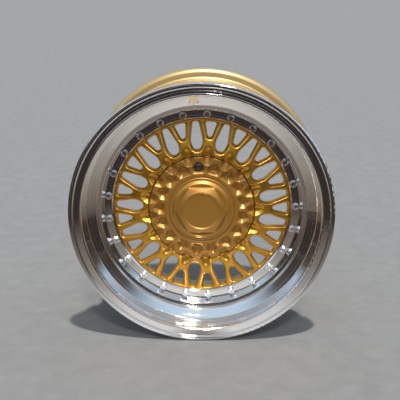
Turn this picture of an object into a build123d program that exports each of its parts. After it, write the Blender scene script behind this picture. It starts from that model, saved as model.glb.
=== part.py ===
from build123d import *
import math
import os

# Split racing wheel, 15 x 8 J, millimetres. The wheel's axis is Y, the outboard (street) side faces -Y and
# +Z is up. The origin is on the axis at mid-width. A "depth" is measured from the plane of the outboard
# flange edge towards the car, so y = FRONT_Y + depth.

# ---- overall size ----
WIDTH = 228.0
FRONT_Y = -WIDTH / 2
FLANGE_R = 208.0
BEAD_SEAT_R = 190.5
BEAD_TAPER_R = 188.8
FLANGE_THICK = 12.4
WELL_R = 165.0
WALL = 5.0
HUB_OFFSET = 20.0
MOUNT_DEPTH = WIDTH / 2 - HUB_OFFSET

# ---- the bolted joint between lip, centre and barrel ----
RING_DEPTH = 61.0
RING_THICK = 4.0
DISC_RING_THICK = 6.0
RING_IN_R = 144.0
PILOT_R = 159.6
DISC_OUT_R = 159.3
DISC_FRONT = RING_DEPTH + RING_THICK
DISC_REAR = DISC_FRONT + DISC_RING_THICK
JOINT_DEPTH = DISC_FRONT + DISC_RING_THICK / 2
BARREL_RING_REAR = DISC_REAR + RING_THICK
BOLT_COUNT = 25
BOLT_CIRCLE_R = 152.0
BOLT_START = 3.1
BOLT_R = 3.5
BOLT_HOLE_R = 3.7
HEAD_FLANGE_R = 5.9
HEAD_FLANGE_THICK = 1.3
HEAD_ACROSS = 8.4
HEAD_HEIGHT = 4.0
HEAD_DISH_R = 2.7
HEAD_DISH_DEPTH = 1.6
NUT_WASHER_R = 6.5
NUT_WASHER_THICK = 1.5
NUT_ACROSS = 10.0
NUT_HEIGHT = 6.5
BOLT_TAIL = 2.0

# ---- valve hole in the lip's sloping wall ----
VALVE_ANGLE = -4.1
VALVE_HOLE_R = 7.85
VALVE_SPOT_R = 12.0
VALVE_WALL = 5.0
VALVE_CUT = 40.0
WALL_TOP = (183.6, 32.7)
WALL_FOOT = (168.6, 39.4)

# ---- mesh centre ----
SPOKE_COUNT = 17
PITCH = 360.0 / SPOKE_COUNT
SPOKE_START = -4.3
MESH_OUT_R = 143.6
MESH_OUT_DEPTH = 62.6
SEAM_R = 85.5
SEAM_DEPTH = 50.0
SEAM_GAP = 0.5
MESH_REAR_OUT = (142.8, 74.0)
MESH_REAR_IN = (90.0, 64.0)
WINDOW_DRAFT = 15.0
WINDOW_EDGE = 2.0
LONG_WINDOW = [(9.4, 144.6, 7.7), (13.8, 108.0, 22.0), (8.4, 92.0, 10.5)]
LONG_EDGES_FROM_R = 92.0
SHORT_WINDOW = [(17.2, 144.4, 8.3), (6.4, 110.3, 8.3)]
PIT_FLOOR_SCALE = 0.36
INNER_PIT = [(0.0, 87.0, 5.0), (15.2, 68.5, 5.0), (11.4, 56.6, 5.0)]
INNER_PIT_CENTRE = 68.0
INNER_PIT_FLOOR = 53.0
OUTER_PIT = [(0.0, 116.0, 6.0), (11.5, 98.0, 5.0), (13.0, 86.0, 5.0), (5.0, 71.5, 4.0)]
OUTER_PIT_CENTRE = 87.0
OUTER_PIT_FLOOR = 56.4
OUTER_PIT_TIP_R = 102.0
OUTER_PIT_HALF_ANGLE = 5.2

# ---- hub ----
BORE_R = 36.55
PAD_THICK = 13.0
PAD_FRONT = MOUNT_DEPTH - PAD_THICK
PAD_R = 78.0
POCKET_R = 73.0
LEDGE_R = 77.5
LEDGE_DEPTH = 59.0
LUG_COUNT = 4
LUG_CIRCLE_R = 50.0
LUG_START = 45.0
LUG_HOLE_R = 7.0
INSERT_R = 10.5
INSERT_LENGTH = 10.0
LUG_SEAT_R = 9.6

# ---- cap plate, its screw and the hexagonal cap ----
PLATE_R = SEAM_R - SEAM_GAP
PLATE_IN_DEPTH = 46.2
LAND_R = 55.0
LAND_DEPTH = 47.2
PLATE_HOLE_R = 34.6
PLATE_INNER_REAR = 53.0
SCREW_CIRCLE_R = 68.4
SCREW_SEAT_DEPTH = 54.0
SCREW_R = 3.0
SCREW_HEAD_R = 4.9
SCREW_HEAD_HEIGHT = 4.2
SCREW_SOCKET_ACROSS = 4.0
SCREW_SOCKET_DEPTH = 2.4
SCREW_WASHER_R = 5.9
SCREW_WASHER_THICK = 1.0
SCREW_END_DEPTH = 70.0
SCREW_BOSS_R = 7.0
SCREW_BOSS_FRONT = 61.0
SCREW_INSERT_R = 4.2
SCREW_INSERT_LENGTH = 10.0
THREAD_GAP = 0.05
CAP_BASE_R = 52.0
CAP_BASE_FRONT = 44.2
CAP_STEP_R = 46.6
CAP_CONE_DEPTH = 40.6
HEX_ACROSS = 72.0
HEX_FACE_DEPTH = 33.0
HEX_FACE_R = 30.6
HEX_CORNER_DEPTH = 38.0
HEX_CORNER_R = 42.0
CAP_RECESS_R = 29.5
CAP_RECESS_DEPTH = 1.6
CAP_SKIRT_R = 33.4
CAP_SKIRT_END = 67.0
CAP_CAVITY_DEPTH = 38.4
O_RING_IN_R = 43.2
O_RING_OUT_R = 46.0
O_RING_FRONT = 45.3
CARRIER_R = 30.0
CARRIER_BORE_R = 26.0
CARRIER_FRONT = 52.5
CARRIER_FLANGE_R = 38.8
CARRIER_FLANGE_THICK = 3.0
CARRIER_SPIGOT = 3.4
CLIP_THICK = 1.4
CLIP_OUT_R = 38.2
CLIP_IN_R = 34.2
CLIP_GAP_HALF = 5.0


def face_y(depth):
    return FRONT_Y + depth


def lathe(outline):
    """Turn a closed outline of (radius, depth, corner rounding) about the wheel's axis."""
    points = [(radius, face_y(depth)) for radius, depth, _ in outline]
    rounding = [corner for _, _, corner in outline]
    section = make_face(FilletPolyline(*points, radius=rounding, close=True))
    return revolve(section, Axis.Y)


def disc_plane(depth):
    """A plane at a depth that faces the car, with its y up."""
    return Plane(origin=(0, face_y(depth), 0), x_dir=(-1, 0, 0), z_dir=(0, 1, 0))


def at_angle(shape, degrees, radius=0.0):
    """Move a shape made at the top of the wheel out to a radius, then round clockwise as seen outboard."""
    return Rot(0, degrees, 0) * Pos(0, 0, radius) * shape


def spokes(shape, offset=0.0):
    return [at_angle(shape, SPOKE_START + PITCH * (n + offset)) for n in range(SPOKE_COUNT)]


def ring_of_bolts(shape):
    step = 360.0 / BOLT_COUNT
    return [at_angle(shape, BOLT_START + step * n, BOLT_CIRCLE_R) for n in range(BOLT_COUNT)]


def post(radius, front, rear):
    """A cylinder along the axis between two depths, centred on the wheel's axis."""
    return extrude(disc_plane(front) * Circle(radius), rear - front)


def hex_post(across, front, rear, turn=0.0):
    outline = Rot(0, 0, turn) * RegularPolygon(across / math.sqrt(3), 6)
    return extrude(disc_plane(front) * outline, rear - front)


def mirrored_outline(half, shrink=1.0, centre=0.0):
    """A closed outline symmetric about the radius line, from its (offset, radius out, rounding) corners."""
    right = [(offset * shrink, centre + (out - centre) * shrink, corner * shrink) for offset, out, corner in half]
    left = [(-offset, out, corner) for offset, out, corner in reversed(right) if offset]
    corners = right + left
    points = [(offset, out) for offset, out, _ in corners]
    return make_face(FilletPolyline(*points, radius=[corner for _, _, corner in corners], close=True))


def window(half):
    """A tapered through window, widest at the front."""
    front = SEAM_DEPTH - 2
    outline = mirrored_outline(half)
    return extrude(disc_plane(front) * outline, MESH_REAR_OUT[1] + 2 - front, taper=WINDOW_DRAFT)


def pit(half, front, floor, centre):
    """A blind pit with sloping walls and a flat floor."""
    mouth = disc_plane(front) * mirrored_outline(half)
    bottom = disc_plane(floor) * mirrored_outline(half, PIT_FLOOR_SCALE, centre)
    return loft([mouth, bottom], ruled=True)


def export_node(name, shape):
    solids = shape if isinstance(shape, list) else [shape]
    export_step(Compound(children=solids) if len(solids) > 1 else solids[0], f"parts/{name}.step")


def make_outer_lip():
    lip = lathe([
        (FLANGE_R, 0.0, 2.4),
        (201.0, 0.0, 1.6),
        (200.0, 2.0, 0.6),
        (191.4, 2.0, 0.2),
        (191.0, 1.2, 0.2),
        (187.2, 1.2, 3.0),
        (*WALL_TOP, 1.2),
        (*WALL_FOOT, 1.0),
        (167.6, 44.4, 0.8),
        (161.8, 45.6, 1.0),
        (158.6, RING_DEPTH, 0.5),
        (146.4, RING_DEPTH, 0.3),
        (RING_IN_R, RING_DEPTH + 2.2, 0.2),
        (RING_IN_R, DISC_FRONT, 0.3),
        (PILOT_R, DISC_FRONT, 0.0),
        (PILOT_R, JOINT_DEPTH, 0.0),
        (WELL_R, JOINT_DEPTH, 0.0),
        (WELL_R, 55.0, 8.0),
        (171.0, 47.6, 4.0),
        (187.0, 41.0, 3.0),
        (189.7, 37.4, 1.2),
        (BEAD_TAPER_R, 34.0, 1.5),
        (BEAD_SEAT_R, FLANGE_THICK, 5.0),
        (FLANGE_R, FLANGE_THICK, 8.6),
    ])
    holes = ring_of_bolts(post(BOLT_HOLE_R, RING_DEPTH - 6, DISC_FRONT + 1))
    return lip - holes - make_valve_hole()


def make_valve_hole():
    """The hole runs square to the lip's sloping wall, with a spot face on the tyre side."""
    run = WALL_FOOT[0] - WALL_TOP[0]
    drop = WALL_FOOT[1] - WALL_TOP[1]
    length = math.hypot(run, drop)
    middle = ((WALL_TOP[0] + WALL_FOOT[0]) / 2, (WALL_TOP[1] + WALL_FOOT[1]) / 2)
    start = Vector(0, face_y(middle[1]), middle[0])
    towards_tyre = Vector(0, -run / length, drop / length)
    plane = Plane(origin=start, x_dir=(1, 0, 0), z_dir=towards_tyre)
    hole = plane * Cylinder(VALVE_HOLE_R, VALVE_CUT)
    spot_face = plane * Pos(0, 0, VALVE_WALL + VALVE_CUT / 2) * Cylinder(VALVE_SPOT_R, VALVE_CUT)
    return at_angle(hole + spot_face, VALVE_ANGLE)


def make_inner_barrel():
    barrel = lathe([
        (RING_IN_R, DISC_REAR, 0.3),
        (RING_IN_R, BARREL_RING_REAR, 0.5),
        (WELL_R - WALL, BARREL_RING_REAR, 1.0),
        (WELL_R - WALL, 110.0, 12.0),
        (181.6, 160.0, 12.0),
        (182.6, 190.0, 10.0),
        (185.2, 214.0, 3.0),
        (187.0, 221.4, 2.0),
        (203.2, 221.4, 3.4),
        (203.2, WIDTH, 1.2),
        (FLANGE_R, WIDTH, 1.6),
        (FLANGE_R, WIDTH - FLANGE_THICK, 8.6),
        (BEAD_SEAT_R, WIDTH - FLANGE_THICK, 5.0),
        (BEAD_TAPER_R, 194.0, 1.5),
        (189.7, 190.6, 1.2),
        (187.4, 187.0, 3.0),
        (186.6, 160.0, 12.0),
        (WELL_R, 110.0, 12.0),
        (WELL_R, JOINT_DEPTH, 0.0),
        (PILOT_R, JOINT_DEPTH, 0.0),
        (PILOT_R, DISC_REAR, 0.0),
    ])
    return barrel - ring_of_bolts(post(BOLT_HOLE_R, DISC_REAR - 1, BARREL_RING_REAR + 1))


def inner_pit():
    return pit(INNER_PIT, PLATE_IN_DEPTH - 2, INNER_PIT_FLOOR, INNER_PIT_CENTRE)


def outer_pit():
    return pit(OUTER_PIT, SEAM_DEPTH - 2, OUTER_PIT_FLOOR, OUTER_PIT_CENTRE)


def make_centre_disc():
    disc = lathe([
        (DISC_OUT_R, DISC_FRONT, 0.2),
        (MESH_OUT_R, DISC_FRONT, 0.0),
        (MESH_OUT_R, MESH_OUT_DEPTH, 0.8),
        (SEAM_R, SEAM_DEPTH, 0.4),
        (SEAM_R, LEDGE_DEPTH, 0.0),
        (LEDGE_R, LEDGE_DEPTH, 0.6),
        (POCKET_R, LEDGE_DEPTH + 6, 1.0),
        (POCKET_R, PAD_FRONT, 4.0),
        (BORE_R, PAD_FRONT, 0.0),
        (BORE_R, MOUNT_DEPTH, 0.8),
        (PAD_R, MOUNT_DEPTH, 2.0),
        (PAD_R + 4, 71.0, 8.0),
        (*MESH_REAR_IN, 3.0),
        (*MESH_REAR_OUT, 0.8),
        (MESH_REAR_OUT[0], DISC_REAR, 0.0),
        (DISC_OUT_R, DISC_REAR, 0.2),
    ])
    disc -= spokes(window(LONG_WINDOW)) + spokes(window(SHORT_WINDOW), 0.5) + spokes(outer_pit(), 0.5)
    disc = round_front_edges(disc, (LONG_EDGES_FROM_R, MESH_OUT_R - 1), WINDOW_EDGE)
    screw_boss = hub_feature(post(SCREW_BOSS_R, SCREW_BOSS_FRONT, PAD_FRONT + 1))
    inside_pocket = post(POCKET_R + 1, SCREW_BOSS_FRONT, PAD_FRONT + 1)
    disc += screw_boss & inside_pocket
    disc -= hub_feature(post(SCREW_INSERT_R, SCREW_BOSS_FRONT - 1, SCREW_BOSS_FRONT + SCREW_INSERT_LENGTH))
    disc -= hub_feature(post(SCREW_R + 0.6, SCREW_BOSS_FRONT, SCREW_END_DEPTH + 4))
    disc -= ring_of_bolts(post(BOLT_HOLE_R, DISC_FRONT - 1, DISC_REAR + 1))
    disc -= ring_of_lugs(post(LUG_HOLE_R, PAD_FRONT - 1, MOUNT_DEPTH + 1))
    disc -= ring_of_lugs(post(INSERT_R, PAD_FRONT - 1, PAD_FRONT + INSERT_LENGTH))
    groove_front = PAD_FRONT + CARRIER_SPIGOT
    return disc - post(CLIP_OUT_R, groove_front, groove_front + CLIP_THICK)


def round_front_edges(disc, radii, rounding):
    """Round the mouths of the windows where they open on the front cone."""
    cone = max((face for face in disc.faces() if face.geom_type == GeomType.CONE), key=lambda face: face.area)
    return fillet([edge for edge in cone.edges() if is_window_edge(edge, radii)], rounding)


def is_window_edge(edge, radii):
    middle = edge.position_at(0.5)
    radius = math.hypot(middle.X, middle.Z)
    from_spoke = (math.degrees(math.atan2(middle.X, middle.Z)) - SPOKE_START) % PITCH
    in_pit = radius < OUTER_PIT_TIP_R and abs(from_spoke - PITCH / 2) < OUTER_PIT_HALF_ANGLE
    on_section_line = edge.geom_type == GeomType.LINE and abs(middle.Z) < 0.01
    return radii[0] < radius < radii[1] and not in_pit and not on_section_line


def make_assembly_bolt():
    head_front = RING_DEPTH - HEAD_FLANGE_THICK - HEAD_HEIGHT
    bolt = post(BOLT_R, RING_DEPTH - 0.5, BARREL_RING_REAR + NUT_WASHER_THICK + NUT_HEIGHT + BOLT_TAIL)
    flange = post(HEAD_FLANGE_R, RING_DEPTH - HEAD_FLANGE_THICK, RING_DEPTH)
    head = hex_post(HEAD_ACROSS, head_front, RING_DEPTH) + hex_post(HEAD_ACROSS, head_front, RING_DEPTH, 30)
    dome = post(HEAD_ACROSS / 2 + 0.3, head_front, RING_DEPTH)
    dome = chamfer(dome.edges().group_by(Axis.Y)[0], 0.6)
    dish = post(HEAD_DISH_R, head_front - 1, head_front + HEAD_DISH_DEPTH)
    flange = chamfer(flange.edges().group_by(Axis.Y)[0], 0.5)
    return bolt + flange + ((head & dome) - dish)


def make_nut_washer():
    front = BARREL_RING_REAR
    return post(NUT_WASHER_R, front, front + NUT_WASHER_THICK) - post(BOLT_R + 0.1, front - 1, front + 9)


def make_assembly_nut():
    front = BARREL_RING_REAR + NUT_WASHER_THICK
    nut = hex_post(NUT_ACROSS, front, front + NUT_HEIGHT)
    corners = post(NUT_ACROSS / math.sqrt(3) - 0.1, front, front + NUT_HEIGHT)
    corners = chamfer(corners.edges().group_by(Axis.Y)[-1], 0.7)
    return (nut & corners) - post(BOLT_R + THREAD_GAP, front - 1, front + 9)


def make_rim_seal():
    return lathe([
        (WELL_R, JOINT_DEPTH - 5, 0.0),
        (WELL_R + 2, JOINT_DEPTH - 2.5, 1.5),
        (WELL_R + 2, JOINT_DEPTH + 2.5, 1.5),
        (WELL_R, JOINT_DEPTH + 5, 0.0),
    ])


def make_lug_seat_insert():
    sleeve = post(INSERT_R, PAD_FRONT, PAD_FRONT + INSERT_LENGTH) - post(LUG_HOLE_R, PAD_FRONT - 1, MOUNT_DEPTH)
    mouth = disc_plane(PAD_FRONT - 0.01) * Circle(LUG_SEAT_R)
    return sleeve - extrude(mouth, (LUG_SEAT_R - LUG_HOLE_R + 0.3) * math.sqrt(3), taper=30)


def ring_of_lugs(shape):
    return [at_angle(shape, LUG_START + 360 / LUG_COUNT * n, LUG_CIRCLE_R) for n in range(LUG_COUNT)]


def hub_feature(shape):
    return at_angle(shape, SPOKE_START, SCREW_CIRCLE_R)


def make_cap_carrier():
    flange_front = PAD_FRONT - CARRIER_FLANGE_THICK
    return lathe([
        (CARRIER_BORE_R, CARRIER_FRONT, 0.6),
        (CARRIER_R, CARRIER_FRONT, 1.0),
        (CARRIER_R, flange_front, 1.5),
        (CARRIER_FLANGE_R, flange_front, 0.6),
        (CARRIER_FLANGE_R, PAD_FRONT, 0.0),
        (BORE_R, PAD_FRONT, 0.0),
        (BORE_R, PAD_FRONT + CARRIER_SPIGOT, 0.0),
        (CARRIER_BORE_R, PAD_FRONT + CARRIER_SPIGOT, 0.6),
    ])


def make_carrier_clip():
    front = PAD_FRONT + CARRIER_SPIGOT
    ring = post(CLIP_OUT_R, front, front + CLIP_THICK) - post(CLIP_IN_R, front - 1, front + 3)
    gap = disc_plane(front - 1) * Pos(0, CLIP_OUT_R) * Rectangle(2 * CLIP_GAP_HALF, 12)
    return ring - extrude(gap, CLIP_THICK + 2)


def make_cap_plate():
    plate = lathe([
        (PLATE_R, SEAM_DEPTH, 0.5),
        (LAND_R + 1.0, PLATE_IN_DEPTH, 0.6),
        (LAND_R, LAND_DEPTH, 0.3),
        (PLATE_HOLE_R, LAND_DEPTH, 0.5),
        (PLATE_HOLE_R, PLATE_INNER_REAR, 0.5),
        (LAND_R, PLATE_INNER_REAR, 2.0),
        (LAND_R + 5, LEDGE_DEPTH, 2.0),
        (PLATE_R, LEDGE_DEPTH, 0.5),
    ])
    plate -= spokes(inner_pit()) + spokes(outer_pit(), 0.5)
    plate -= hub_feature(post(SCREW_WASHER_R + 0.6, LAND_DEPTH, SCREW_SEAT_DEPTH))
    return plate - hub_feature(post(SCREW_R + 0.5, LAND_DEPTH, LEDGE_DEPTH + 1))


def make_plate_screw():
    head_front = SCREW_SEAT_DEPTH - SCREW_WASHER_THICK - SCREW_HEAD_HEIGHT
    head = post(SCREW_HEAD_R, head_front, head_front + SCREW_HEAD_HEIGHT)
    head = fillet(head.edges().group_by(Axis.Y)[0], 1.0)
    head -= hex_post(SCREW_SOCKET_ACROSS, head_front - 1, head_front + SCREW_SOCKET_DEPTH)
    return head + post(SCREW_R, head_front + SCREW_HEAD_HEIGHT - 0.5, SCREW_END_DEPTH)


def make_screw_washer():
    front = SCREW_SEAT_DEPTH - SCREW_WASHER_THICK
    return post(SCREW_WASHER_R, front, SCREW_SEAT_DEPTH) - post(SCREW_R + 0.1, front - 1, SCREW_SEAT_DEPTH + 1)


def make_screw_insert():
    front = SCREW_BOSS_FRONT
    sleeve = post(SCREW_INSERT_R, front, front + SCREW_INSERT_LENGTH)
    return sleeve - post(SCREW_R + THREAD_GAP, front - 1, front + SCREW_INSERT_LENGTH + 1)


def make_hex_cap():
    body = lathe([
        (CAP_BASE_R, LAND_DEPTH, 0.5),
        (CAP_BASE_R, CAP_BASE_FRONT, 1.2),
        (CAP_STEP_R + 0.8, CAP_BASE_FRONT, 0.4),
        (CAP_STEP_R, CAP_BASE_FRONT - 0.8, 0.5),
        (HEX_ACROSS / math.sqrt(3) + 1.4, CAP_CONE_DEPTH, 1.5),
        (CAP_SKIRT_R, CAP_CONE_DEPTH, 0.0),
        (CAP_SKIRT_R, CAP_CAVITY_DEPTH - 0.5, 0.0),
        (0.0, CAP_CAVITY_DEPTH - 0.5, 0.0),
        (0.0, CAP_CAVITY_DEPTH, 0.0),
        (CARRIER_R + THREAD_GAP, CAP_CAVITY_DEPTH, 1.0),
        (CARRIER_R + THREAD_GAP, CAP_SKIRT_END, 0.5),
        (CAP_SKIRT_R, CAP_SKIRT_END, 0.8),
        (CAP_SKIRT_R, LAND_DEPTH, 0.0),
        (O_RING_IN_R - 0.1, LAND_DEPTH, 0.0),
        (O_RING_IN_R - 0.1, O_RING_FRONT - 0.1, 0.2),
        (O_RING_OUT_R + 0.1, O_RING_FRONT - 0.1, 0.2),
        (O_RING_OUT_R + 0.1, LAND_DEPTH, 0.0),
    ])
    crown = lathe([
        (0.0, HEX_FACE_DEPTH, 0.0),
        (HEX_FACE_R, HEX_FACE_DEPTH, 1.0),
        (HEX_CORNER_R, HEX_CORNER_DEPTH, 0.0),
        (HEX_CORNER_R, CAP_CONE_DEPTH + 0.5, 0.0),
        (0.0, CAP_CONE_DEPTH + 0.5, 0.0),
    ])
    hexagon = hex_post(HEX_ACROSS, HEX_FACE_DEPTH, CAP_CONE_DEPTH + 0.5) & crown
    recess = post(CAP_RECESS_R, HEX_FACE_DEPTH - 1, HEX_FACE_DEPTH + CAP_RECESS_DEPTH)
    recess = chamfer(recess.edges().group_by(Axis.Y)[-1], 1.2)
    return body + hexagon - recess


def make_cap_o_ring():
    return lathe([
        (O_RING_IN_R, O_RING_FRONT, 0.8),
        (O_RING_OUT_R, O_RING_FRONT, 0.8),
        (O_RING_OUT_R, LAND_DEPTH, 0.8),
        (O_RING_IN_R, LAND_DEPTH, 0.8),
    ])


def main():
    os.makedirs("parts", exist_ok=True)
    export_node("outer_lip", make_outer_lip())
    export_node("inner_barrel", make_inner_barrel())
    export_node("centre_disc", make_centre_disc())
    export_node("assembly_bolts", ring_of_bolts(make_assembly_bolt()))
    export_node("nut_washers", ring_of_bolts(make_nut_washer()))
    export_node("assembly_nuts", ring_of_bolts(make_assembly_nut()))
    export_node("rim_seal", make_rim_seal())
    export_node("lug_seat_inserts", ring_of_lugs(make_lug_seat_insert()))
    export_node("cap_carrier", make_cap_carrier())
    export_node("carrier_clip", make_carrier_clip())
    export_node("cap_plate", make_cap_plate())
    export_node("cap_o_ring", make_cap_o_ring())
    export_node("hex_cap", make_hex_cap())
    export_node("plate_screw", hub_feature(make_plate_screw()))
    export_node("plate_screw_washer", hub_feature(make_screw_washer()))
    export_node("plate_screw_insert", hub_feature(make_screw_insert()))


main()
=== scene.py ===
import math

import bpy
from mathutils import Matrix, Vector


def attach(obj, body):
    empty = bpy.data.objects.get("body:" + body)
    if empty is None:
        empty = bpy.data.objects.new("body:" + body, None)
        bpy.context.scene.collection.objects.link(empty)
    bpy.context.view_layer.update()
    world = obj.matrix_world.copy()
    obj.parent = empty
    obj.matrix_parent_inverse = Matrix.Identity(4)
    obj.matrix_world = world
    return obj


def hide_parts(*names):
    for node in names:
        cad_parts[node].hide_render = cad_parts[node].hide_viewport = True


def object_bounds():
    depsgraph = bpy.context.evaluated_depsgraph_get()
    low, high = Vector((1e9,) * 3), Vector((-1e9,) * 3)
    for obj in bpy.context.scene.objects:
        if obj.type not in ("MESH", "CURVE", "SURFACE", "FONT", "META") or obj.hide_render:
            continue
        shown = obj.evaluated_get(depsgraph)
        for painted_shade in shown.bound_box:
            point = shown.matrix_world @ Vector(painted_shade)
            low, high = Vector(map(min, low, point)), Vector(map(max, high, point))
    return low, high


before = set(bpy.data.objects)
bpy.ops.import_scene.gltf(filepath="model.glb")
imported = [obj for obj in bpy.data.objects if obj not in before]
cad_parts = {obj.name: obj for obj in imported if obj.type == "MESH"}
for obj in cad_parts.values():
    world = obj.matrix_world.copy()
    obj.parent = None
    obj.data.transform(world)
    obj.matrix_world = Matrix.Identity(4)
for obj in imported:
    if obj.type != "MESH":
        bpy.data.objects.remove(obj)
cad_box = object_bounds()

FRONT_Y = cad_box[0].y
FLOOR_Z = cad_box[0].z

# ---- camera: a long lens, a little above the wheel's axis ----
LENS_MM = 72.0
SENSOR_MM = 36.0
CLIP_START = 0.05
DISTANCE = 1.241
ELEVATION = math.radians(16.0)
AZIMUTH = math.radians(1.0)
AIM_UP = 0.0265
AIM_RIGHT = -0.0018

# ---- lights: the sun from above, and a weaker one for what the polished dish throws back ----
SUN_FROM = (0.09, -0.36, 1.0)
SUN_STRENGTH = 3.6
SUN_ANGLE = math.radians(2.5)
SUN_COLOR = (1.0, 0.97, 0.92)
FILL_FROM = (0.10, -1.0, 0.90)
FILL_STRENGTH = 1.0
FILL_ANGLE = math.radians(6.0)
FILL_COLOR = (1.0, 0.98, 0.95)

# sky tones by height, from 0 straight down through 0.5 at the horizon to 1 straight up
SKY_TONES = [
    (0.45, (0.22, 0.21, 0.20)),
    (0.52, (0.045, 0.038, 0.036)),
    (0.61, (0.09, 0.085, 0.085)),
    (0.69, (0.66, 0.86, 1.08)),
    (0.80, (0.56, 0.66, 0.76)),
    (1.00, (0.50, 0.56, 0.62)),
]

# ---- floor, and a painted reflection: a ground card that only the metal's reflections see ----
FLOOR_REACH = 80.0
FLOOR_ROUGHNESS = 0.9
FLOOR_GRAIN = 30.0
FLOOR_TONES = [
    (0.3, (0.170, 0.166, 0.164)),
    (0.7, (0.205, 0.201, 0.198)),
]
CARD_REACH = 60.0
CARD_LIFT = 0.001
CARD_SIDE_WEIGHT = 0.8
# painted reflection tones of the ground card, by distance in metres in front of the wheel: dim at the
# wheel, a painted bright pool from 0.08 to 0.22, then painted dim ground further out
PAINTED_REFLECTION_TONES = [
    (0.00, (0.10, 0.10, 0.10)),
    (0.03, (0.16, 0.16, 0.16)),
    (0.08, (0.46, 0.455, 0.45)),
    (0.22, (0.42, 0.405, 0.39)),
    (0.38, (0.21, 0.195, 0.175)),
    (0.55, (0.13, 0.112, 0.095)),
    (0.75, (0.085, 0.071, 0.06)),
    (0.95, (0.022, 0.017, 0.016)),
]

# ---- turned metal: rates are repeats per metre, slopes are rise over run ----
WAVE_RATE = 260.0
WAVE_SLOPE = 0.03
FLANK_SLOPE = 1.1
FLANK_ROUGHNESS = 0.20
CHOICE_SEED = 0.0
SLOPE_SEED = 7.3
BAND_RATE = 120.0
SMUDGE_RATE = 14.0
BAND_SHARE = 0.55
ANISOTROPY = 0.85
ANISOTROPY_TURN = 0.25

# ---- paint, plain metal and rubber: rates are repeats per metre, depths are metres ----
# painted shade: how far the occlusion looks, and the levels at which the paint takes its full shade
# colour and its own colour
PAINTED_SHADE_REACH = 0.012
PAINTED_SHADE_SAMPLES = 8
PAINTED_SHADE_FULL = 0.15
PAINTED_SHADE_NONE = 0.80
MOTTLE_RATE = 60.0
MOTTLE_SPAN = (0.88, 1.12)
FLAKE_RATE = 2600.0
FLAKE_STRENGTH = 0.10
FLAKE_DEPTH = 0.0002
PEEL_RATE = 420.0
PEEL_STRENGTH = 0.12
PEEL_DEPTH = 0.0004
COAT_ROUGHNESS = 0.28
WEAR_RATE = 380.0
WEAR_STRENGTH = 0.08
RUBBER_RATE = 900.0
RUBBER_STRENGTH = 0.2
SURFACE_DEPTH = 0.0003

SMOOTH_FACTOR = 0.5


def make_camera():
    target = Vector((0, FRONT_Y, 0))
    back = Vector((
        math.sin(AZIMUTH) * math.cos(ELEVATION),
        -math.cos(AZIMUTH) * math.cos(ELEVATION),
        math.sin(ELEVATION),
    ))
    right = (-back).cross(Vector((0, 0, 1))).normalized()
    up = right.cross(-back)
    data = bpy.data.cameras.new("camera")
    data.lens = LENS_MM
    data.sensor_width = SENSOR_MM
    data.clip_start = CLIP_START
    camera = bpy.data.objects.new("camera", data)
    camera.location = target + back * DISTANCE
    aim = target + up * AIM_UP + right * AIM_RIGHT
    camera.rotation_euler = (aim - camera.location).to_track_quat("-Z", "Y").to_euler()
    bpy.context.scene.collection.objects.link(camera)
    bpy.context.scene.camera = camera


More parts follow.
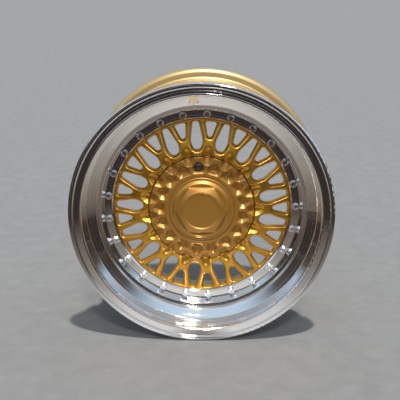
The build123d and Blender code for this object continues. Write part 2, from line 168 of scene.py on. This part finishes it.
# ---- small helpers for node materials ----
class Graph:
    """A material or world's node tree, with short calls for the nodes that this scene uses."""

    def __init__(self, tree):
        self.tree = tree
        tree.nodes.clear()

    def add(self, kind, **settings):
        node = self.tree.nodes.new(kind)
        for key, value in settings.items():
            setattr(node, key, value)
        return node

    def link(self, source, target):
        self.tree.links.new(source, target)

    def math(self, operation, *values):
        """One Math node; each value is a number or another node's output."""
        node = self.add("ShaderNodeMath", operation=operation)
        for socket, value in zip(node.inputs, values):
            if isinstance(value, (int, float)):
                socket.default_value = value
            else:
                self.link(value, socket)
        return node.outputs[0]

    def vector(self, operation, *sources):
        node = self.add("ShaderNodeVectorMath", operation=operation)
        for socket, source in zip(node.inputs, sources):
            self.link(source, socket)
        return node.outputs["Vector"]

    def scaled(self, vector, scale):
        node = self.add("ShaderNodeVectorMath", operation="SCALE")
        self.link(vector, node.inputs[0])
        self.link(scale, node.inputs["Scale"])
        return node.outputs["Vector"]

    def parts(self, vector):
        node = self.add("ShaderNodeSeparateXYZ")
        self.link(vector, node.inputs[0])
        return node.outputs

    def ramp(self, source, stops):
        node = self.add("ShaderNodeValToRGB")
        elements = node.color_ramp.elements
        while len(elements) < len(stops):
            elements.new(1.0)
        for element, (place, color) in zip(elements, stops):
            element.position = place
            element.color = (*color, 1.0)
        self.link(source, node.inputs[0])
        return node.outputs[0]

    def noise(self, vector, scale, detail=3.0, roughness=0.5):
        node = self.add("ShaderNodeTexNoise")
        node.inputs["Scale"].default_value = scale
        node.inputs["Detail"].default_value = detail
        node.inputs["Roughness"].default_value = roughness
        self.link(vector, node.inputs["Vector"])
        return node.outputs["Fac"]

    def white(self, vector, seed):
        """A different even random number for each whole step of the vector."""
        node = self.add("ShaderNodeTexWhiteNoise", noise_dimensions="4D")
        self.link(self.vector("FLOOR", vector), node.inputs["Vector"])
        node.inputs["W"].default_value = seed
        return node.outputs["Value"]

    def place(self):
        return self.add("ShaderNodeTexCoord").outputs["Object"]

    def span(self, source, low, high):
        """Map 0..1 to low..high."""
        node = self.add("ShaderNodeMapRange")
        node.inputs["To Min"].default_value = low
        node.inputs["To Max"].default_value = high
        self.link(source, node.inputs["Value"])
        return node.outputs[0]

    def bump(self, height, strength, distance, normal=None):
        node = self.add("ShaderNodeBump")
        node.inputs["Strength"].default_value = strength
        node.inputs["Distance"].default_value = distance
        self.link(height, node.inputs["Height"])
        if normal is not None:
            self.link(normal, node.inputs["Normal"])
        return node.outputs[0]

    def round_the_axis(self, rate):
        """A vector that is the same all round the wheel, so that noise in it makes turning marks."""
        x, y, z = self.parts(self.place())
        squares = self.math("ADD", self.math("MULTIPLY", x, x), self.math("MULTIPLY", z, z))
        radius = self.math("SQRT", squares)
        joined = self.add("ShaderNodeCombineXYZ")
        self.link(self.math("MULTIPLY", radius, rate), joined.inputs[0])
        self.link(self.math("MULTIPLY", y, rate), joined.inputs[1])
        return joined.outputs[0]

    def turned_normal(self, chosen, lathe):
        """The normal as a lathe leaves it: long shallow waves, and steep flanks where chosen is 1."""
        x, _, z = self.parts(self.place())
        around = self.add("ShaderNodeCombineXYZ")
        self.link(z, around.inputs[0])
        self.link(self.math("MULTIPLY", x, -1.0), around.inputs[2])
        normal = self.add("ShaderNodeNewGeometry").outputs["Normal"]
        across = self.vector("CROSS_PRODUCT", normal, self.vector("NORMALIZE", around.outputs[0]))
        rolling = self.noise(self.round_the_axis(WAVE_RATE), 1.0, 3.0, 0.6)
        waves = self.span(rolling, -WAVE_SLOPE, WAVE_SLOPE)
        flank = self.span(self.white(lathe, SLOPE_SEED), -FLANK_SLOPE, FLANK_SLOPE)
        slope = self.math("ADD", waves, self.math("MULTIPLY", chosen, flank))
        tilted = self.vector("ADD", normal, self.scaled(across, slope))
        return self.vector("NORMALIZE", tilted)


def material(name, metallic, roughness, color=None):
    made = bpy.data.materials.new(name)
    made.use_nodes = True
    graph = Graph(made.node_tree)
    shader = graph.add("ShaderNodeBsdfPrincipled")
    if color is not None:
        shader.inputs["Base Color"].default_value = (*color, 1.0)
    shader.inputs["Metallic"].default_value = metallic
    shader.inputs["Roughness"].default_value = roughness
    output = graph.add("ShaderNodeOutputMaterial")
    graph.link(shader.outputs[0], output.inputs[0])
    return made, graph, shader


def turned_metal(name, color, roughness, pitch, share):
    """Lathe-turned bare metal, which draws highlights out across the turning.

    Each step of pitch is one pass of the tool, and a share of the passes are steep rough flanks.
    """
    made, graph, shader = material(name, 1.0, roughness[0], color)
    bands = graph.noise(graph.round_the_axis(BAND_RATE), 1.0, 4.0, 0.6)
    smudges = graph.noise(graph.place(), SMUDGE_RATE, 5.0, 0.6)
    blend = graph.math(
        "ADD",
        graph.math("MULTIPLY", bands, BAND_SHARE),
        graph.math("MULTIPLY", smudges, 1.0 - BAND_SHARE),
    )
    lathe = graph.round_the_axis(1.0 / pitch)
    chosen = graph.math("LESS_THAN", graph.white(lathe, CHOICE_SEED), share)
    flank = graph.math("MULTIPLY", chosen, FLANK_ROUGHNESS)
    rough = graph.math("MAXIMUM", graph.span(blend, *roughness), flank)
    graph.link(rough, shader.inputs["Roughness"])
    graph.link(graph.turned_normal(chosen, lathe), shader.inputs["Normal"])
    tangent = graph.add("ShaderNodeTangent", direction_type="RADIAL", axis="Y")
    graph.link(tangent.outputs[0], shader.inputs["Tangent"])
    shader.inputs["Anisotropic"].default_value = ANISOTROPY
    shader.inputs["Anisotropic Rotation"].default_value = ANISOTROPY_TURN
    return made


def metallic_paint(name, light, shade_color, roughness, metallic, coat):
    """Metallic paint: fine flake sparkle, slight orange peel, and painted shade that deepens the tone
    in the corners.
    """
    made, graph, shader = material(name, metallic, roughness, light)
    place = graph.place()
    # painted shade: occlusion deepens the paint's tone in corners, creases and recesses, where shade
    # falls
    painted_shade = graph.add("ShaderNodeAmbientOcclusion", samples=PAINTED_SHADE_SAMPLES)
    painted_shade.inputs["Distance"].default_value = PAINTED_SHADE_REACH
    mottle = graph.span(graph.noise(place, MOTTLE_RATE, 4.0), *MOTTLE_SPAN)
    tone = graph.math("MULTIPLY", painted_shade.outputs["AO"], mottle)
    # the paint's own colour in the open, its painted shade colour in the corners
    paint = graph.ramp(tone, [(PAINTED_SHADE_FULL, shade_color), (PAINTED_SHADE_NONE, light)])
    graph.link(paint, shader.inputs["Base Color"])
    flakes = graph.add("ShaderNodeTexVoronoi")
    flakes.inputs["Scale"].default_value = FLAKE_RATE
    graph.link(place, flakes.inputs["Vector"])
    peel = graph.bump(graph.noise(place, PEEL_RATE, 2.0), PEEL_STRENGTH, PEEL_DEPTH)
    normal = graph.bump(flakes.outputs["Distance"], FLAKE_STRENGTH, FLAKE_DEPTH, peel)
    graph.link(normal, shader.inputs["Normal"])
    shader.inputs["Coat Weight"].default_value = coat
    shader.inputs["Coat Roughness"].default_value = COAT_ROUGHNESS
    return made


def plain_metal(name, color, roughness):
    made, graph, shader = material(name, 1.0, roughness[0], color)
    wear = graph.noise(graph.place(), WEAR_RATE, 5.0, 0.6)
    graph.link(graph.span(wear, *roughness), shader.inputs["Roughness"])
    graph.link(graph.bump(wear, WEAR_STRENGTH, SURFACE_DEPTH), shader.inputs["Normal"])
    return made


def rubber(name, color, roughness):
    made, graph, shader = material(name, 0.0, roughness, color)
    grain = graph.noise(graph.place(), RUBBER_RATE, 3.0)
    graph.link(graph.bump(grain, RUBBER_STRENGTH, SURFACE_DEPTH), shader.inputs["Normal"])
    return made


# ---- the materials; a pair of roughnesses is the range that the surface varies over ----
POLISHED = turned_metal(
    "polished_lip", color=(0.79, 0.77, 0.755), roughness=(0.05, 0.12), pitch=0.00012, share=0.05)
AS_TURNED = turned_metal(
    "turned_alloy", color=(0.72, 0.72, 0.73), roughness=(0.22, 0.38), pitch=0.0002, share=0.15)
# the second colour of each paint is its painted shade in the corners
GOLD_MESH = metallic_paint(
    "gold_mesh_paint", light=(0.64, 0.31, 0.026), shade_color=(0.15, 0.052, 0.004),
    roughness=0.30, metallic=0.8, coat=0.4)
GOLD_BARREL = metallic_paint(
    "gold_barrel_paint", light=(0.50, 0.355, 0.155), shade_color=(0.22, 0.125, 0.035),
    roughness=0.42, metallic=0.7, coat=0.7)
BRONZE = metallic_paint(
    "bronze_gold_paint", light=(0.45, 0.215, 0.034), shade_color=(0.16, 0.066, 0.008),
    roughness=0.45, metallic=0.7, coat=0.5)
CHROME = plain_metal("bright_chrome", (0.93, 0.94, 0.96), (0.12, 0.24))
ZINC = plain_metal("zinc_plate", (0.62, 0.63, 0.64), (0.25, 0.40))
STEEL = plain_metal("plain_steel", (0.48, 0.48, 0.50), (0.30, 0.45))
BLACK_OXIDE = plain_metal("black_oxide", (0.30, 0.28, 0.29), (0.22, 0.36))
SEALANT = rubber("cured_sealant", (0.13, 0.13, 0.14), 0.55)
NITRILE = rubber("nitrile_rubber", (0.02, 0.02, 0.02), 0.45)

LOOKS = {
    "outer_lip": POLISHED,
    "inner_barrel": GOLD_BARREL,
    "centre_disc": GOLD_MESH,
    "assembly_bolts": CHROME,
    "nut_washers": ZINC,
    "assembly_nuts": ZINC,
    "rim_seal": SEALANT,
    "lug_seat_inserts": STEEL,
    "cap_carrier": AS_TURNED,
    "carrier_clip": STEEL,
    "cap_plate": BRONZE,
    "cap_o_ring": NITRILE,
    "hex_cap": BRONZE,
    "plate_screw": BLACK_OXIDE,
    "plate_screw_washer": BLACK_OXIDE,
    "plate_screw_insert": STEEL,
}


def dress():
    for name, look in LOOKS.items():
        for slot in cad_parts[name].material_slots:
            slot.material = look


# ---- softened castings: the CAD shape, its edges rounded as forging and paint leave them ----
def soften(name, node, body, voxel, rounds):
    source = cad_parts[node]
    piece = bpy.data.objects.new(name, source.data.copy())
    bpy.context.scene.collection.objects.link(piece)
    remesh = piece.modifiers.new("remesh", "REMESH")
    remesh.mode = "VOXEL"
    remesh.voxel_size = voxel
    remesh.use_smooth_shade = True
    smooth = piece.modifiers.new("smooth", "SMOOTH")
    smooth.factor = SMOOTH_FACTOR
    smooth.iterations = rounds
    bpy.context.view_layer.update()
    depsgraph = bpy.context.evaluated_depsgraph_get()
    mesh = bpy.data.meshes.new_from_object(piece.evaluated_get(depsgraph))
    piece.modifiers.clear()
    piece.data = mesh
    mesh.materials.clear()
    mesh.materials.append(LOOKS[node])
    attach(piece, body)
    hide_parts(node)


# ---- floor, lights and sky ----
def flat_card(name, low, high, z):
    mesh = bpy.data.meshes.new(name)
    corners = [(low[0], low[1], z), (high[0], low[1], z), (high[0], high[1], z), (low[0], high[1], z)]
    mesh.from_pydata(corners, [], [(0, 1, 2, 3)])
    card = bpy.data.objects.new(name, mesh)
    bpy.context.scene.collection.objects.link(card)
    return card


def make_floor():
    floor = flat_card("floor", (-FLOOR_REACH, -FLOOR_REACH), (FLOOR_REACH, FLOOR_REACH), FLOOR_Z)
    made, graph, shader = material("pale_floor", 0.0, FLOOR_ROUGHNESS)
    grain = graph.noise(graph.place(), FLOOR_GRAIN, 6.0, 0.7)
    graph.link(graph.ramp(grain, FLOOR_TONES), shader.inputs["Base Color"])
    floor.data.materials.append(made)


def make_painted_reflection_ground():
    """A painted reflection: the ground ahead as only reflections see it, a painted bright pool in the
    wheel's own glare, then painted dim ground.
    """
    low, high = (-CARD_REACH, -CARD_REACH), (CARD_REACH, FRONT_Y)
    ground = flat_card("painted_reflection_ground", low, high, FLOOR_Z + CARD_LIFT)
    made, graph, shader = material("painted_reflection_ground", 0.0, FLOOR_ROUGHNESS)
    x, y, _ = graph.parts(graph.place())
    ahead = graph.math("SUBTRACT", FRONT_Y, y)
    aside = graph.math("MULTIPLY", graph.math("ABSOLUTE", x), CARD_SIDE_WEIGHT)
    # painted reflection: the tone paints glare close in front of the wheel and dim ground further
    # ahead and to the sides
    tone = graph.ramp(graph.math("ADD", ahead, aside), PAINTED_REFLECTION_TONES)
    graph.link(tone, shader.inputs["Base Color"])
    shader.inputs["Specular IOR Level"].default_value = 0.0
    ground.data.materials.append(made)
    ground.visible_camera = False
    ground.visible_diffuse = False
    ground.visible_shadow = False


def make_sun(name, source, strength, angle, color):
    data = bpy.data.lights.new(name, "SUN")
    data.energy = strength
    data.angle = angle
    data.color = color
    sun = bpy.data.objects.new(name, data)
    sun.rotation_euler = Vector(source).to_track_quat("Z", "Y").to_euler()
    bpy.context.scene.collection.objects.link(sun)


def make_sky():
    world = bpy.data.worlds.new("sky")
    bpy.context.scene.world = world
    world.use_nodes = True
    graph = Graph(world.node_tree)
    _, _, up = graph.parts(graph.add("ShaderNodeTexCoord").outputs["Generated"])
    height = graph.math("MULTIPLY_ADD", up, 0.5, 0.5)
    back = graph.add("ShaderNodeBackground")
    graph.link(graph.ramp(height, SKY_TONES), back.inputs["Color"])
    graph.link(back.outputs[0], graph.add("ShaderNodeOutputWorld").inputs[0])


bpy.context.scene.view_settings.view_transform = "Standard"
make_camera()
dress()
soften("mesh_casting", "centre_disc", "rim", 0.0009, 30)
soften("waffle_plate", "cap_plate", "plate", 0.0006, 14)
soften("hexagonal_cap", "hex_cap", "cap", 0.0005, 8)
make_floor()
make_painted_reflection_ground()
make_sun("sun", SUN_FROM, SUN_STRENGTH, SUN_ANGLE, SUN_COLOR)
make_sun("front_fill", FILL_FROM, FILL_STRENGTH, FILL_ANGLE, FILL_COLOR)
make_sky()
